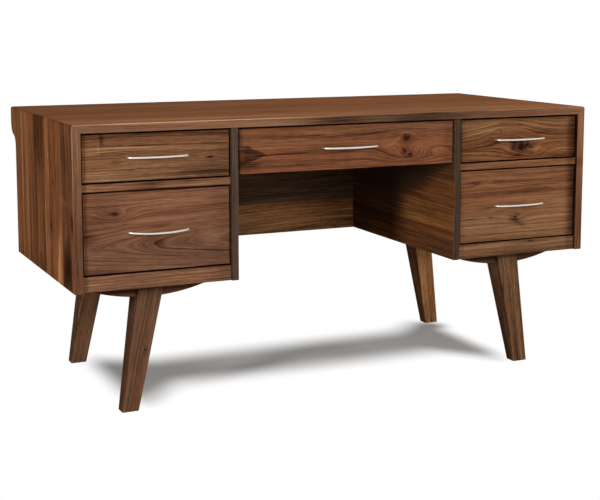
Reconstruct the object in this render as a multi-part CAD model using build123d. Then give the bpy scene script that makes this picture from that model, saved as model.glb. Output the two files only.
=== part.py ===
"""Double-pedestal writing desk: mitred waterfall case, five drawers on runners, splayed legs.

Millimetres, +Z up, +X to the right of a person facing the desk, drawers open towards -Y.
The origin is on the floor, under the middle of the desk's outer box, pulls included.
"""
from build123d import *
import os

# Case
WIDTH = 1524.0
DEPTH = 698.0
HEIGHT = 762.0
LEG_HEIGHT = 340.5
TOP_THICK = 23.0
SIDE_THICK = 23.0
CORNER_EASE = 4.0
PEDESTAL_WIDTH = 437.0
KNEE_PANEL_THICK = 19.0
REAR_OVERHANG = 55.0
FLARE_LIP = 46.0
FLARE_HEIGHT = 66.0
BACK_THICK = 16.0
FLOOR_THICK = 18.0
MODESTY_RAIL_HEIGHT = 97.0
HOUSING = 6.0

# Front layout
FRONT_RECESS = 8.0
FRONT_THICK = 19.0
REVEAL = 3.5
UPPER_FRONT_HEIGHT = 119.0
DIVIDER_RAIL_HEIGHT = 20.0
DIVIDER_RAIL_DEPTH = 45.0
BOTTOM_RAIL_HEIGHT = 41.0
BOTTOM_RAIL_THICK = 19.0

# Legs and arched rails
LEG_TOP_WIDTH = 68.0
LEG_TOP_DEPTH = 74.0
LEG_FOOT_WIDTH = 46.0
LEG_FOOT_DEPTH = 36.0
LEG_SPLAY = 60.0
LEG_TOE_OUT = 8.5
FRONT_LEG_INSET = 59.5
REAR_LEG_INSET = 4.5
ARCH_THICK = 22.0
ARCH_SAG = 39.0
ARCH_TIP_INSET = 23.0
ARCH_SETBACK = 19.5
BRIDLE_GAP = 0.2
GLIDE_DIAMETER = 26.0
GLIDE_HEIGHT = 3.0
GLIDE_PIN_DIAMETER = 3.0
GLIDE_PIN_LENGTH = 14.0

# Screws from the pedestal floors into the arched rails
BASE_SCREW_DIAMETER = 4.5
BASE_SCREW_LENGTH = 35.0
BASE_SCREW_HEAD = 9.0
BASE_SCREW_HEAD_HEIGHT = 3.0
BASE_SCREW_OFFSETS = (60.0, 120.0)
HOLE_GAP = 0.15

# Drawer boxes
BOX_REAR_CLEAR = 40.0
BOX_BOARD = 12.0
BOX_INSET = 14.0
BOX_FINGER = 13.0
BOTTOM_THICK = 6.0
BOTTOM_RISE = 10.0
GROOVE_DEPTH = 6.0
GROOVE_GAP = 0.5

# Telescopic runners: three nested steel channels on each side of a drawer
RUNNER_HEIGHT = 45.0
RUNNER_SPACE = 12.7
RUNNER_SHEET = 1.5
RUNNER_GAP = 0.3
RUNNER_LIP_CLEAR = 1.5
RUNNER_SETBACK = 3.0
RUNNER_TAIL = 7.0
RUNNER_RISE = 35.0

# Bow pulls
PULL_SPACING = 160.0
PULL_PROJECTION = 32.0
PULL_BOW = 14.0
PULL_ROD = 6.0
PULL_BEND = 8.0
PULL_FOOT_DIAMETER = 10.0
PULL_FOOT_HEIGHT = 5.0
PULL_SCREW_DIAMETER = 4.0
PULL_SCREW_BITE = 7.0
PULL_SCREW_HEAD = 8.0
PULL_SCREW_HEAD_HEIGHT = 2.6

# Places worked out from the sizes above
PULL_OVERHANG = PULL_PROJECTION - FRONT_RECESS
CASE_BACK = (DEPTH + PULL_OVERHANG) / 2
CASE_FRONT = CASE_BACK - DEPTH
PEDESTAL_REAR = CASE_BACK - REAR_OVERHANG
BACK_FACE = PEDESTAL_REAR - BACK_THICK
FRONT_FACE = CASE_FRONT + FRONT_RECESS
BOX_FRONT = FRONT_FACE + FRONT_THICK
BOX_REAR = BACK_FACE - BOX_REAR_CLEAR
RUNNER_Y = (BOX_FRONT + RUNNER_SETBACK, BOX_REAR - RUNNER_TAIL)
TOP_UNDER = HEIGHT - TOP_THICK
SIDE_OUTER = WIDTH / 2
SIDE_INNER = SIDE_OUTER - SIDE_THICK
KNEE_INNER = SIDE_OUTER - PEDESTAL_WIDTH
KNEE_OUTER = KNEE_INNER + KNEE_PANEL_THICK
PEDESTAL_MIDDLE = (SIDE_OUTER + KNEE_INNER) / 2
OPENING_MIDDLE = (SIDE_INNER + KNEE_OUTER) / 2
PEDESTAL_OPENING = SIDE_INNER - KNEE_OUTER
KNEE_OPENING = 2 * KNEE_INNER
UPPER_FRONT_Z = (TOP_UNDER - REVEAL - UPPER_FRONT_HEIGHT, TOP_UNDER - REVEAL)
DIVIDER_RAIL_TOP = UPPER_FRONT_Z[0] - REVEAL
DIVIDER_RAIL_Z = (DIVIDER_RAIL_TOP - DIVIDER_RAIL_HEIGHT, DIVIDER_RAIL_TOP)
BOTTOM_RAIL_Z = (LEG_HEIGHT, LEG_HEIGHT + BOTTOM_RAIL_HEIGHT)
LOWER_FRONT_Z = (BOTTOM_RAIL_Z[1] + REVEAL, DIVIDER_RAIL_Z[0] - REVEAL)
DRAWERS = (
    ("left_top", -OPENING_MIDDLE, PEDESTAL_OPENING, UPPER_FRONT_Z),
    ("left_bottom", -OPENING_MIDDLE, PEDESTAL_OPENING, LOWER_FRONT_Z),
    ("centre", 0.0, KNEE_OPENING, UPPER_FRONT_Z),
    ("right_top", OPENING_MIDDLE, PEDESTAL_OPENING, UPPER_FRONT_Z),
    ("right_bottom", OPENING_MIDDLE, PEDESTAL_OPENING, LOWER_FRONT_Z),
)
SIDES = (("left", -1), ("right", 1))


def block(x_range, y_range, z_range):
    """Box between two planes on each axis."""
    ranges = (sorted(x_range), sorted(y_range), sorted(z_range))
    size = [high - low for low, high in ranges]
    corner = [low for low, high in ranges]
    return Pos(*corner) * Box(*size, align=(Align.MIN, Align.MIN, Align.MIN))


def rod_y(x, z, diameter, y_range):
    """Round bar or hole cutter along Y."""
    length = y_range[1] - y_range[0]
    bar = Cylinder(diameter / 2, length, align=(Align.CENTER, Align.CENTER, Align.MIN))
    return Pos(x, y_range[0], z) * Rot(-90, 0, 0) * bar


def rod_z(x, y, diameter, z_range):
    """Round bar or hole cutter along Z."""
    length = z_range[1] - z_range[0]
    bar = Cylinder(diameter / 2, length, align=(Align.CENTER, Align.CENTER, Align.MIN))
    return Pos(x, y, z_range[0]) * bar


def save(name, *pieces):
    """Write one node, a single piece or a group of separate ones."""
    solids = [solid for piece in pieces for solid in piece.solids()]
    shape = solids[0] if len(solids) == 1 else Compound(solids)
    export_step(shape, f"parts/{name}.step")


def waterfall():
    """Top and outer sides as one bent board with eased corners, before the mitre cuts."""
    y_range = (CASE_FRONT, CASE_BACK)
    outer = block((-SIDE_OUTER, SIDE_OUTER), y_range, (LEG_HEIGHT, HEIGHT))
    inner = block((-SIDE_INNER, SIDE_INNER), y_range, (LEG_HEIGHT, TOP_UNDER))
    board = outer - inner
    corners = board.edges().filter_by(Axis.Y).group_by(Axis.Z)[-1]
    return fillet(corners, CORNER_EASE)


def side_wedge(sign):
    """Everything on the side panel's own side of the mitre."""
    points = (
        (sign * SIDE_OUTER, HEIGHT),
        (sign * SIDE_INNER, TOP_UNDER),
        (sign * SIDE_INNER, LEG_HEIGHT),
        (sign * SIDE_OUTER, LEG_HEIGHT),
    )
    outline = Polyline(*[(x, CASE_FRONT, z) for x, z in points], close=True)
    return extrude(make_face(outline), amount=DEPTH, dir=(0, 1, 0))


def side_outline():
    """Side view of a side panel, flaring out at the rear in an S curve to carry the top."""
    lip = HEIGHT - FLARE_LIP
    straight = Polyline(
        (PEDESTAL_REAR, LEG_HEIGHT), (CASE_FRONT, LEG_HEIGHT), (CASE_FRONT, HEIGHT), (CASE_BACK, HEIGHT),
        (CASE_BACK, lip),
    )
    middle = ((CASE_BACK + PEDESTAL_REAR) / 2, lip - FLARE_HEIGHT / 2)
    upper = TangentArc(straight @ 1, middle, tangent=(0, -1))
    lower = TangentArc(upper @ 1, (PEDESTAL_REAR, lip - FLARE_HEIGHT), tangent=upper % 1)
    rear = Line(lower @ 1, straight @ 0)
    face = Plane.YZ * make_face([*straight.edges(), upper, lower, rear])
    return extrude(face, amount=SIDE_OUTER, both=True)


def housed_boards(sign):
    """Boards of one pedestal whose ends are let into its two walls."""
    across = (sign * (KNEE_OUTER - HOUSING), sign * (SIDE_INNER + HOUSING))
    rail_rear = FRONT_FACE + BOTTOM_RAIL_THICK
    return {
        "divider_rail": block(across, (FRONT_FACE, FRONT_FACE + DIVIDER_RAIL_DEPTH), DIVIDER_RAIL_Z),
        "bottom_rail": block(across, (FRONT_FACE, rail_rear), BOTTOM_RAIL_Z),
        "pedestal_floor": block(across, (rail_rear, BACK_FACE), (LEG_HEIGHT, LEG_HEIGHT + FLOOR_THICK)),
        "pedestal_back": block(across, (BACK_FACE, PEDESTAL_REAR), (LEG_HEIGHT, TOP_UNDER)),
    }


def build_case():
    """Top, side and kneehole panels, the boards housed in them, and the modesty panel."""
    board = waterfall()
    wedges = {name: side_wedge(sign) for name, sign in SIDES}
    save("desk_top", board - wedges["left"] - wedges["right"])
    across = (-KNEE_INNER - HOUSING, KNEE_INNER + HOUSING)
    split = LEG_HEIGHT + MODESTY_RAIL_HEIGHT
    modesty_rail = block(across, (BACK_FACE, PEDESTAL_REAR), (LEG_HEIGHT, split))
    modesty_panel = block(across, (BACK_FACE, PEDESTAL_REAR), (split, TOP_UNDER))
    save("modesty_rail", modesty_rail)
    save("modesty_panel", modesty_panel)
    profile = side_outline()
    for name, sign in SIDES:
        housed = housed_boards(sign)
        knee_x = (sign * KNEE_INNER, sign * KNEE_OUTER)
        knee_panel = block(knee_x, (CASE_FRONT, PEDESTAL_REAR), (LEG_HEIGHT, TOP_UNDER))
        save(f"{name}_side_panel", (board & wedges[name] & profile) - [*housed.values()])
        save(f"{name}_kneehole_panel", knee_panel - [*housed.values(), modesty_rail, modesty_panel])
        for piece in ("divider_rail", "bottom_rail", "pedestal_back"):
            save(f"{name}_{piece}", housed[piece])


def arch(x, y_range, extra_sag):
    """Arched rail under a pedestal, a circle's segment below its flat top edge."""
    reach = PEDESTAL_WIDTH / 2 - ARCH_TIP_INSET
    tips = ((x - reach, y_range[0], LEG_HEIGHT), (x + reach, y_range[0], LEG_HEIGHT))
    lowest = (x, y_range[0], LEG_HEIGHT - ARCH_SAG - extra_sag)
    face = make_face([Line(*tips), ThreePointArc(tips[0], lowest, tips[1])])
    return extrude(face, amount=y_range[1] - y_range[0], dir=(0, 1, 0))


def leg(x, y, splay, toe_out):
    """Square leg that tapers to its foot, which stands outside its top by the splay and toe-out."""
    foot = Pos(x + splay, y + toe_out, GLIDE_HEIGHT) * Rectangle(LEG_FOOT_WIDTH, LEG_FOOT_DEPTH)
    top = Pos(x, y, LEG_HEIGHT) * Rectangle(LEG_TOP_WIDTH, LEG_TOP_DEPTH)
    return loft([foot, top], ruled=True)


def glide(x, y, gap):
    """Nail-on glide under a foot, or with a gap the hole for its pin."""
    disc = rod_z(x, y, GLIDE_DIAMETER, (0, GLIDE_HEIGHT))
    pin = rod_z(x, y, GLIDE_PIN_DIAMETER + 2 * gap, (0, GLIDE_HEIGHT + GLIDE_PIN_LENGTH + gap))
    return disc + pin


def base_screw(x, y, gap):
    """Countersunk screw flush with a pedestal floor, or with a gap the hole for it."""
    head_z = LEG_HEIGHT + FLOOR_THICK
    shank = rod_z(x, y, BASE_SCREW_DIAMETER + 2 * gap, (head_z - BASE_SCREW_LENGTH - gap, head_z))
    head = Cone(
        BASE_SCREW_DIAMETER / 2 + gap, BASE_SCREW_HEAD / 2 + gap, BASE_SCREW_HEAD_HEIGHT,
        align=(Align.CENTER, Align.CENTER, Align.MAX),
    )
    return shank + Pos(x, y, head_z) * head


def build_base():
    """Legs straddling their arched rails, glides, and the screws that hold the pedestals on."""
    ends = (
        ("front", -1, CASE_FRONT + FRONT_LEG_INSET),
        ("rear", 1, PEDESTAL_REAR - REAR_LEG_INSET),
    )
    glides = []
    screws = []
    for name, sign in SIDES:
        x = sign * PEDESTAL_MIDDLE
        floor = housed_boards(sign)["pedestal_floor"]
        rails = []
        for end, outward, face_y in ends:
            arch_y = sorted((face_y - outward * ARCH_SETBACK, face_y - outward * (ARCH_SETBACK + ARCH_THICK)))
            rail = arch(x, arch_y, 0)
            for offset in BASE_SCREW_OFFSETS:
                for screw_x in (x - offset, x + offset):
                    hole = base_screw(screw_x, sum(arch_y) / 2, HOLE_GAP)
                    rail -= hole
                    floor -= hole
                    screws.append(base_screw(screw_x, sum(arch_y) / 2, 0))
            rails.append(rail)
            leg_y = face_y - outward * LEG_TOP_DEPTH / 2
            foot = (x + sign * LEG_SPLAY, leg_y + outward * LEG_TOE_OUT)
            body = leg(x, leg_y, sign * LEG_SPLAY, outward * LEG_TOE_OUT)
            body -= arch(x, arch_y, BRIDLE_GAP)
            save(f"{name}_{end}_leg", body - glide(*foot, HOLE_GAP))
            glides.append(glide(*foot, 0))
        save(f"{name}_pedestal_floor", floor)
        save(f"{name}_arched_rails", *rails)
    save("leg_glides", *glides)
    save("base_screws", *screws)


def channel(wall_x, inward, web, lip, height, middle_z):
    """Steel channel along Y: a web lying between two distances from a wall, and two flanges."""
    across = sorted((wall_x + inward * web[0], wall_x + inward * lip))
    body = block(across, RUNNER_Y, (middle_z - height / 2, middle_z + height / 2))
    hollow_x = (wall_x + inward * web[1], wall_x + inward * lip)
    hollow_z = (middle_z - height / 2 + RUNNER_SHEET, middle_z + height / 2 - RUNNER_SHEET)
    return body - block(hollow_x, RUNNER_Y, hollow_z)


def runner(wall_x, inward, middle_z):
    """Cabinet, middle and drawer members of one runner, nested with a running gap."""
    step = RUNNER_SHEET + RUNNER_GAP
    lip = RUNNER_SPACE - RUNNER_LIP_CLEAR
    cabinet = channel(wall_x, inward, (0, RUNNER_SHEET), lip, RUNNER_HEIGHT, middle_z)
    middle = channel(wall_x, inward, (step, step + RUNNER_SHEET), lip, RUNNER_HEIGHT - 2 * step, middle_z)
    web = (RUNNER_SPACE, RUNNER_SPACE - RUNNER_SHEET)
    drawer = channel(wall_x, inward, web, 2 * step, RUNNER_HEIGHT - 4 * step, middle_z)
    return cabinet, middle, drawer


def pull(x, z):
    """Bow pull with its two screws, which come through the front from inside the drawer."""
    rod_y_out = FRONT_FACE - PULL_PROJECTION + PULL_ROD / 2
    shoulder = rod_y_out + PULL_BOW
    feet = (x - PULL_SPACING / 2, x + PULL_SPACING / 2)
    corners = [(foot_x, y, z) for foot_x, y in (
        (feet[0], FRONT_FACE), (feet[0], shoulder), (feet[1], shoulder), (feet[1], FRONT_FACE))]
    path = Wire([
        Line(corners[0], corners[1]).edge(),
        ThreePointArc(corners[1], (x, rod_y_out, z), corners[2]).edge(),
        Line(corners[2], corners[3]).edge(),
    ])
    bends = [path.vertices().sort_by_distance(corner)[0] for corner in corners[1:3]]
    path = path.fillet_2d(PULL_BEND, bends)
    bar = sweep(Plane(corners[0], z_dir=(0, -1, 0)) * Circle(PULL_ROD / 2), path=path)
    head_y = BOX_FRONT + BOX_BOARD
    tip_y = FRONT_FACE - PULL_SCREW_BITE
    screws = []
    for foot_x in feet:
        foot = Cone(
            PULL_FOOT_DIAMETER / 2, PULL_ROD / 2, PULL_FOOT_HEIGHT,
            align=(Align.CENTER, Align.CENTER, Align.MIN),
        )
        bar += Pos(foot_x, FRONT_FACE, z) * Rot(90, 0, 0) * foot
        bar -= rod_y(foot_x, z, PULL_SCREW_DIAMETER + 2 * HOLE_GAP, (tip_y - HOLE_GAP, FRONT_FACE))
        shank = rod_y(foot_x, z, PULL_SCREW_DIAMETER, (tip_y, head_y))
        screws.append(shank + rod_y(foot_x, z, PULL_SCREW_HEAD, (head_y, head_y + PULL_SCREW_HEAD_HEIGHT)))
    return bar, screws


def pull_holes(x, z):
    """Holes for a pull's screws through the front and the box behind it."""
    y_range = (FRONT_FACE, BOX_FRONT + BOX_BOARD)
    diameter = PULL_SCREW_DIAMETER + 2 * HOLE_GAP
    return [rod_y(x + half, z, diameter, y_range) for half in (-PULL_SPACING / 2, PULL_SPACING / 2)]


def grow(edges, amount):
    """Range widened by an amount at both ends."""
    return (edges[0] - amount, edges[1] + amount)


def drawer_box(x, width, z_range):
    """Side boards, end boards and bottom panel of a finger-jointed drawer box."""
    outer_x = (x - width / 2, x + width / 2)
    inner_x = (outer_x[0] + BOX_BOARD, outer_x[1] - BOX_BOARD)
    outer_y = (BOX_FRONT, BOX_REAR)
    inner_y = (BOX_FRONT + BOX_BOARD, BOX_REAR - BOX_BOARD)
    height = z_range[1] - z_range[0]
    fingers = 2 * round(height / BOX_FINGER / 2) + 1
    edges_z = [z_range[0] + number * height / fingers for number in range(fingers + 1)]
    levels = list(zip(edges_z, edges_z[1:]))
    corners = [(post_x, post_y) for post_x in zip(outer_x, inner_x) for post_y in zip(outer_y, inner_y)]
    end_fingers = [block(*corner, level) for corner in corners for level in levels[1::2]]
    side_fingers = [block(*corner, level) for corner in corners for level in levels[0::2]]
    sides = [block(edges, outer_y, z_range) - end_fingers for edges in zip(outer_x, inner_x)]
    ends = [block(outer_x, edges, z_range) - side_fingers for edges in zip(outer_y, inner_y)]
    low = z_range[0] + BOTTOM_RISE
    panel_z = (low, low + BOTTOM_THICK)
    groove = block(grow(inner_x, GROOVE_DEPTH), grow(inner_y, GROOVE_DEPTH), panel_z)
    reach = GROOVE_DEPTH - GROOVE_GAP
    panel = block(grow(inner_x, reach), grow(inner_y, reach), panel_z)
    return [board - groove for board in sides], [board - groove for board in ends], panel


def build_drawers():
    """Five drawers with fronts, boxes, pulls and runners, shut."""
    cabinet_members = []
    for name, x, opening, front_z in DRAWERS:
        half = opening / 2
        middle_z = sum(front_z) / 2
        holes = pull_holes(x, middle_z)
        front_x = (x - half + REVEAL, x + half - REVEAL)
        front = block(front_x, (FRONT_FACE, BOX_FRONT), front_z)
        box_z = (front_z[0] + BOX_INSET, front_z[1] - BOX_INSET)
        sides, ends, bottom = drawer_box(x, opening - 2 * RUNNER_SPACE, box_z)
        for hole in holes:
            front -= hole
            ends[0] -= hole
        runner_z = box_z[0] + RUNNER_RISE
        runners = [runner(x - half, 1, runner_z), runner(x + half, -1, runner_z)]
        bar, screws = pull(x, middle_z)
        save(f"{name}_drawer_front", front)
        save(f"{name}_drawer_sides", *sides)
        save(f"{name}_drawer_ends", *ends)
        save(f"{name}_drawer_bottom", bottom)
        save(f"{name}_drawer_pull", bar, *screws)
        save(f"{name}_drawer_runners", *[members[2] for members in runners])
        save(f"{name}_middle_runners", *[members[1] for members in runners])
        cabinet_members += [members[0] for members in runners]
    save("cabinet_runners", *cabinet_members)


os.makedirs("parts", exist_ok=True)
build_case()
build_base()
build_drawers()
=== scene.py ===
"""Looks of the writing desk: eased walnut boards, bow pulls, maple drawer boxes and a white studio.

Metres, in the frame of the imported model: +X right, +Y back, +Z up. The figure of the wood is in millimetres.
"""
import math
from functools import partialmethod

import bmesh
import bpy
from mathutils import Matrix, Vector


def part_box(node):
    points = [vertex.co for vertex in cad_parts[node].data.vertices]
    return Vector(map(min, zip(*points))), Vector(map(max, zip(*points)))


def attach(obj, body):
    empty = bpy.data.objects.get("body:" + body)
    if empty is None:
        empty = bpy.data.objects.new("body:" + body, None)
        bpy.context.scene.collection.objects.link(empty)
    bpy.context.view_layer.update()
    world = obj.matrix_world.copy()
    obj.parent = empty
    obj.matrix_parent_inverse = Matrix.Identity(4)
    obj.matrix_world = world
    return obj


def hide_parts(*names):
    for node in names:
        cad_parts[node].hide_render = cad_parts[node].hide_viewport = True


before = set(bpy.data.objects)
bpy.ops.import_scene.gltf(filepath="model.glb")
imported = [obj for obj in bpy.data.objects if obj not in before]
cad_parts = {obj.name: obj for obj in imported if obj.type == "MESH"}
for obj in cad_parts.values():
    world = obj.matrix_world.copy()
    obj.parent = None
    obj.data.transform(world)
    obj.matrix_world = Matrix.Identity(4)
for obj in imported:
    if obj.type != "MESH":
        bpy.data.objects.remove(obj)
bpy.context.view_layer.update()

# Case, read from the frame, and the inward way of each of its sides
TOP_LOW, TOP_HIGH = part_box("desk_top")
HALF_WIDTH = -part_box("left_side_panel")[0].x
CASE_FRONT = TOP_LOW.y
CASE_DEPTH = TOP_HIGH.y - TOP_LOW.y
TOP_FACE = TOP_HIGH.z
SIDES = {"left": 1, "right": -1}
DRAWERS = ("left_top", "left_bottom", "centre", "right_top", "right_bottom")
HOUSED_BOARDS = ("divider_rail", "bottom_rail", "pedestal_floor", "pedestal_back")

# Eased edges, rounded corners over the mitres, and what shows of the glides
CASE_EASE = 0.0032
PANEL_EASE = 0.0015
RAIL_EASE = 0.0008
FRONT_EASE = 0.001
LEG_EASE = 0.003
EASE_STEPS = 3
CORNER_ROUND = 0.006
CORNER_CUTS = 5
TOP_CUTS = (4, 3)
SIDE_CUTS = (1, 2)
GLIDE_SHOWN = 0.0008

# Limits that tell faces, edges and joints apart
SHARP_ANGLE = math.radians(30)
CREASE_ANGLE = math.radians(50)
FLAT_ANGLE = math.radians(0.6)
WELD = 1e-5
CONTACT = 5e-5
HOLE_FACE = 4e-5
GAP_TURN = 0.9
INNER_TURN = 0.5
LIPPING_TURN = 0.3
CORNER_TURN = 0.25

# Painted light and shade that single faces add to their board's tone
PAINTED_LIGHT_LAYER = "painted_light_shade"
# Lighter arrises of the case, the kneehole walls and the legs: painted highlights
CASE_ARRIS_HIGHLIGHT = 0.12
KNEE_ARRIS_HIGHLIGHT = 0.12
LEG_ARRIS_HIGHLIGHT = 0.05
# Darker arrises and faces at the gaps round rails and drawer fronts: painted shade of the gaps
RAIL_ARRIS_SHADE = -0.45
RAIL_GAP_SHADE = -0.6
FRONT_ARRIS_SHADE = -0.38
FRONT_GAP_SHADE = -0.36
# Darker inner faces, the legs' left faces and the rounded corners over the mitres: painted shade
INNER_SHADE = -0.42
LEG_SHADE = -0.16
CORNER_SHADE = -0.1

# Bow pulls
PULL_SPACING = 0.16
PULL_RISE = 0.014
PULL_ROD = 0.0025
PULL_BEND = 0.015
PULL_FOOT = 0.0029
PULL_FOOT_HEIGHT = 0.0025
PULL_DROOP = {"left_bottom": 0.0036}
PULL_SIDES = 28
BEND_STEPS = 14
BOW_STEPS = 40

# Heads of the pulls' screws, with each ring's height and radius as shares of the whole
SCREW_HEAD = 0.004
SCREW_HEAD_HEIGHT = 0.0026
SCREW_HEAD_RINGS = ((0, 1), (0.45, 1), (0.75, 0.93), (0.92, 0.78), (1, 0.5), (1, 0.22), (0.6, 0.2))

# The photograph's view, with its angles in degrees
CAMERA_PLACE = (-1.5403, -3.3953, 1.0329)
CAMERA_TURN = 24.44
CAMERA_DIP = 7.34
CAMERA_LENS = 76.92
CAMERA_SENSOR = 36.0
CAMERA_SHIFT = -0.12

# Lamps: place, aim, size, watts, and whether metal mirrors them
LAMPS = {
    "overhead": ((0, -0.1, 2.7), (0, 0, 0.7), (2.4, 1.4), 33, False),
    "left_strip": ((-2.75, -1.5, 1.05), (0, -0.3, 0.5), (0.35, 0.6), 59, True),
    "right_strip": ((2.8, -0.88, 1.2), (0, -0.3, 0.5), (0.3, 1), 92, False),
    "front_key": ((0.2, -4.2, 1.72), (0, 0, 0.5), (0.7, 0.7), 69, False),
    "low_fill": ((-1.2, -3.8, 0.45), (0.1, 0, 0.5), (0.5, 0.3), 8, False),
    "rear_fill": ((0.3, 4, 0.55), (0, 0.3, 0.5), (1.6, 0.5), 85, False),
}
AMBIENT = 0.09
WHITE = (1.0, 1.0, 1.0, 1.0)

# Floor, with the painted shade of its colour in the shadow, given from a start at the left
FLOOR_HALF = 9.0
FLOOR_SQUARES = 8
FLOOR_FADE = 0.2
FLOOR_LIFT = 0.02
FLOOR_TONES_START = -0.5
PAINTED_FLOOR_SHADE = ((0, 0.44), (0.15, 0.46), (0.3, 0.54), (0.4, 0.56), (0.52, 0.52), (0.65, 0.38), (1, 0.28))
DARK_FLOOR = (0.18, 0.18, 0.18, 1)

# The desk's shadow, kept from the lamps and deepened and warmed by painted shade: a bar that flares at both
# ends, and a streak towards the right rear foot
PAINTED_SHADOW_CAST = (1, 0.945, 0.915)
SHADOW_CENTRE = 0.01
SHADOW_MIDDLE = 0.068
SHADOW_WIDTH = 0.53
SHADOW_DEPTH = 0.028
SHADOW_FLARE = 0.1
FLARE_SPAN = (0.39, 0.56)
FLARE_FORWARD = 0.03
END_FADE = 2.1
STREAK_START = Vector((0.47, 0.1))
STREAK_END = Vector((0.568, 0.218))
STREAK_RADIUS = 0.01
STREAK_FADE = 2.3
STREAK_BLEND = 0.06

# Shades of a board from dark to light, as shares of its own colour
WALNUT_SHADES = (
    (0, (0.3, 0.29, 0.31)), (0.25, (0.66, 0.63, 0.63)), (0.5, (1, 1, 1)), (0.75, (1.27, 1.34, 1.37)),
    (1, (1.55, 1.8, 1.95)),
)
# The kneehole walls' darkest shades turn grey, as painted shade that reads as shadow
KNEE_SHADOW_SHADES = ((0, (0.56, 0.66, 0.92)), (0.25, (0.7, 0.72, 0.8)), *WALNUT_SHADES[2:])
PALE_SHADES = ((0, (0.84, 0.79, 0.74)), (0.5, (1, 1, 1)), (1, (1.08, 1.12, 1.18)))
RED_CAST = (1.02, 0.985, 0.945)
OLIVE_CAST = (0.985, 1.005, 1.005)
MIDDLE_TONE = 0.5

# Surface of wood, with relief as strength and depth
WOOD_SPECULAR = 0.0
ROUGH_SPREAD = 0.12
WOOD_RELIEF = (0.2, 0.0004)

# Grain: two waves that bend it, as stretch and reach
GRAIN_WAVES = (((1.3, 5, 5), 0.03), ((6, 24, 24), 0.0045))
SEED_SHIFT = (1.7, 3.1, 5.3)
SEED_RINGS = 17.3
RING_UNEVEN = (0.14, 4)
LATE_RISE = (0.25, 0.92)
LATE_FALL = (0.94, 1)
LATE_LEAST = 0.2

# Streaks that follow the rings, as shares of the count of rings and of the run along them
RING_STREAKS = {"bands": (0.28, 1.8), "lines": (0.9, 3.5), "hairs": (4, 9)}

# Stretch of the noises along, across and through a board
CLOUD_STRETCH = (2.5, 14, 14)
FIBRE_STRETCH = (22, 520, 520)
PORE_STRETCH = (42, 1150, 1150)
PORE_SPAN = (0.6, 0.74)
CAST_STRETCH = (0.9, 8, 8)
CAST_SPAN = (0.38, 0.62)

# Weights of the grain's parts in its tone, with a mean near zero, and in its relief
TONE_START = -0.965
TONE_WEIGHTS = {
    "bands": 0.32, "lines": 0.6, "hairs": 0.38, "cloud": 0.35, "fibre": 0.42, "late": -0.2, "pores": -0.16,
}
HEIGHT_START = 0.5
HEIGHT_WEIGHTS = {"pores": -0.7, "late": -0.35, "fibre": 0.4}

# Knots, marks and fans
KNOT_FLAT = (1, 1, 0.3)
KNOT_REACH = 2.6
KNOT_STRETCH = 3.0
KNOT_RAGGED = 130.0
KNOT_SQUASH = (0.9, 1, 0)
KNOT_CORE = (0.35, 1.1)
KNOT_DUSK_FALL = 0.5
KNOT_DUSK = 0.4
KNOT_SEED_STEP = 3.7
MARK_STRETCH = (18, 130, 130)
MARK_SPAN = (0.25, 0.6)
FAN_START = 0.002
FAN_STRETCH = (30, 60, 60)
FAN_WANDER = 0.25
FAN_STREAKS = (22, 14)
FAN_STREAK_SPAN = (0.4, 0.6)
FAN_DARK = (0.5, 0.55)
FAN_NEAR = (0, 0.08)
FAN_FAR = (0.6, 1.1)
FAN_SIDE = (0.7, 1.1)

# Glued staves: how their joints wander, and the shift of each one's figure along, across and through
JOINT_STRETCH = (3, 9, 9)
JOINT_WANDER = 0.014
STAVE_SHIFT = (7, 0.11, 0.05)
GOLDEN = 0.618

# Metal and plastic: shades by tone, weights in the roughness, and relief as strength and depth
CLOUDY = (60, 60, 60)
METAL_SHADES = ((0.2, 0.88), (0.8, 1.06))
METAL_ROUGH = (0.12, 0.08)
METAL_RELIEF = (0.12, 0.0001)
PLASTIC_GRAIN = (900, 900, 900)
PLASTIC_SHADES = ((0.3, 0.75), (0.7, 1))
PLASTIC_ROUGH = (0.45, 0.25)
PLASTIC_RELIEF = (0.25, 0.0002)


def mm(*values):
    """Metres of values in millimetres."""
    return [value / 1000 for value in values]


def srgb(red, green, blue):
    """Linear colour of an 8-bit screen colour."""
    shares = [min(value / 255, 1.0) for value in (red, green, blue)]
    return tuple(((share + 0.055) / 1.055) ** 2.4 for share in shares) + (1.0,)


def shaded(colour, shades, cast):
    """Ramp of a board's shades in one cast of its colour."""
    stops = []
    for position, share in shades:
        stops.append((position, srgb(*[colour[i] * share[i] * cast[i] for i in range(3)])))
    return stops


def toned(colour, shares):
    """Ramp of lighter and darker shares of a linear colour."""
    return [(at, tuple(min(1.0, value * share) for value in colour[:3]) + (1.0,)) for at, share in shares]


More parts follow.
